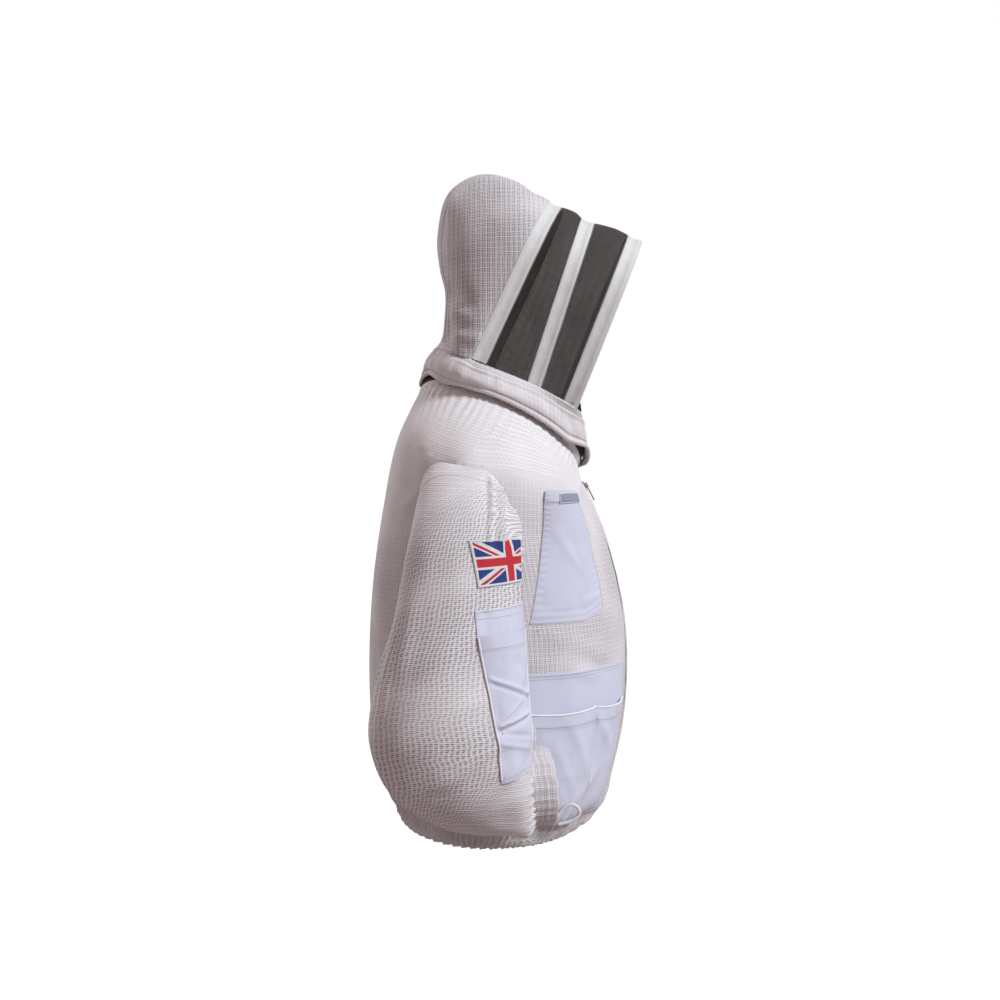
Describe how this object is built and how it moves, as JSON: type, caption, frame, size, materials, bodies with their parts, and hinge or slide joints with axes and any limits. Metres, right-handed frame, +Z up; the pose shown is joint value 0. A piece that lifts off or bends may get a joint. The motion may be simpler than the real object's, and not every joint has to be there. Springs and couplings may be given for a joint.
{
  "type": "beekeeping jacket",
  "caption": "Ventilated beekeeping jacket with a zip-on fencing hood and see-through veil, elasticated hem and cuffs, zip front, and patch pockets, closed as worn.",
  "frame": {"origin": "middle of the neck zip, at the base of the wearer's neck, where the jacket rests on the shoulders", "axes": "+Z up the wearer's body, -Y the way the wearer faces, -X the wearer's right side"},
  "size_m": [0.726, 0.408, 0.9703],
  "materials": {
    "airmesh": "white three-layer ventilated mesh",
    "cotton": "white polycotton",
    "tape": "light woven tape",
    "veil": "black see-through net",
    "zip": "dark olive-black woven tape and moulded coil",
    "slider": "plated",
    "elastic": "white braided elastic",
    "boning": "white flexible plastic strip",
    "patch": "woven patch in red, white and blue",
    "label": "plain woven label"
  },
  "bodies": {
    "jacket": {"back_panel": "airmesh", "front_panel_right": "airmesh", "front_panel_left": "airmesh", "hem_casing": "cotton", "hem_elastic": "elastic", "storm_flap": "cotton", "hang_loop": "tape", "chest_pocket": "cotton", "chest_label": "label", "lower_pocket_right": "cotton", "lower_pocket_left": "cotton", "lower_pocket_facing_right": "cotton", "lower_pocket_facing_left": "cotton", "front_zip_right": "zip", "front_zip_left": "zip", "neck_zip_lower_right": "zip", "neck_zip_lower_left": "zip", "front_zip_box": "zip"},
    "hood": {"hood_side_right": "airmesh", "hood_side_left": "airmesh", "hood_gusset": "airmesh", "collar_right": "airmesh", "collar_left": "airmesh", "collar_lining_right": "cotton", "collar_lining_left": "cotton", "hoop_tape_1": "tape", "hoop_boning_1": "boning", "hoop_tape_2": "tape", "hoop_boning_2": "boning", "hoop_tape_3": "tape", "hoop_boning_3": "boning", "veil_rear": "veil", "veil_front": "veil", "veil_face": "veil", "neck_zip_upper_right": "zip", "neck_zip_upper_left": "zip"},
    "sleeve_right": {"sleeve_right_outer": "airmesh", "sleeve_right_inner": "airmesh", "cuff_right": "cotton", "cuff_elastic_right": "elastic", "thumb_loop_right": "elastic", "sleeve_pocket": "cotton", "sleeve_pocket_facing": "cotton", "sleeve_patch": "patch"},
    "sleeve_left": {"sleeve_left_outer": "airmesh", "sleeve_left_inner": "airmesh", "cuff_left": "cotton", "cuff_elastic_left": "elastic", "thumb_loop_left": "elastic"},
    "front_slider": {"front_slider": "slider"},
    "front_pull": {"front_pull": "slider"},
    "neck_right_slider": {"neck_right_slider": "slider"},
    "neck_right_pull": {"neck_right_pull": "slider"},
    "neck_left_slider": {"neck_left_slider": "slider"},
    "neck_left_pull": {"neck_left_pull": "slider"}
  },
  "joints": [
    {"name": "hood_fold", "type": "hinge", "parent": "jacket", "child": "hood", "pos_m": [0, 0.122, 0.058], "axis": [-1, 0, 0], "range_deg": [0, 140]},
    {"name": "neck_right_run", "type": "hinge", "parent": "jacket", "child": "neck_right_slider", "pos_m": [-0.01247, -0.00072, 0.00412], "axis": [-0.3057, 0.4081, -0.8602], "range_deg": [0, 116]},
    {"name": "neck_left_run", "type": "hinge", "parent": "jacket", "child": "neck_left_slider", "pos_m": [0.01247, -0.00072, 0.00412], "axis": [-0.3057, -0.4081, 0.8602], "range_deg": [0, 116]},
    {"name": "front_run", "type": "hinge", "parent": "jacket", "child": "front_slider", "pos_m": [0, 0.386, -0.353], "axis": [1, 0, 0], "range_deg": [0, 46]},
    {"name": "front_pull_lift", "type": "hinge", "parent": "front_slider", "child": "front_pull", "pos_m": [0, -0.13084, -0.08519], "axis": [-1, 0, 0], "range_deg": [0, 150]},
    {"name": "neck_right_pull_lift", "type": "hinge", "parent": "neck_right_slider", "child": "neck_right_pull", "pos_m": [-0.01385, -0.12401, -0.05388], "axis": [0.3057, -0.4081, 0.8602], "range_deg": [0, 90]},
    {"name": "neck_left_pull_lift", "type": "hinge", "parent": "neck_left_slider", "child": "neck_left_pull", "pos_m": [0.01385, -0.12401, -0.05388], "axis": [0.3057, 0.4081, -0.8602], "range_deg": [0, 90]},
    {"name": "sleeve_right_raise", "type": "hinge", "parent": "jacket", "child": "sleeve_right", "pos_m": [-0.235, 0.054, -0.06], "axis": [0, 1, 0], "range_deg": [0, 45]},
    {"name": "sleeve_left_raise", "type": "hinge", "parent": "jacket", "child": "sleeve_left", "pos_m": [0.235, 0.054, -0.06], "axis": [0, -1, 0], "range_deg": [0, 45]}
  ]
}
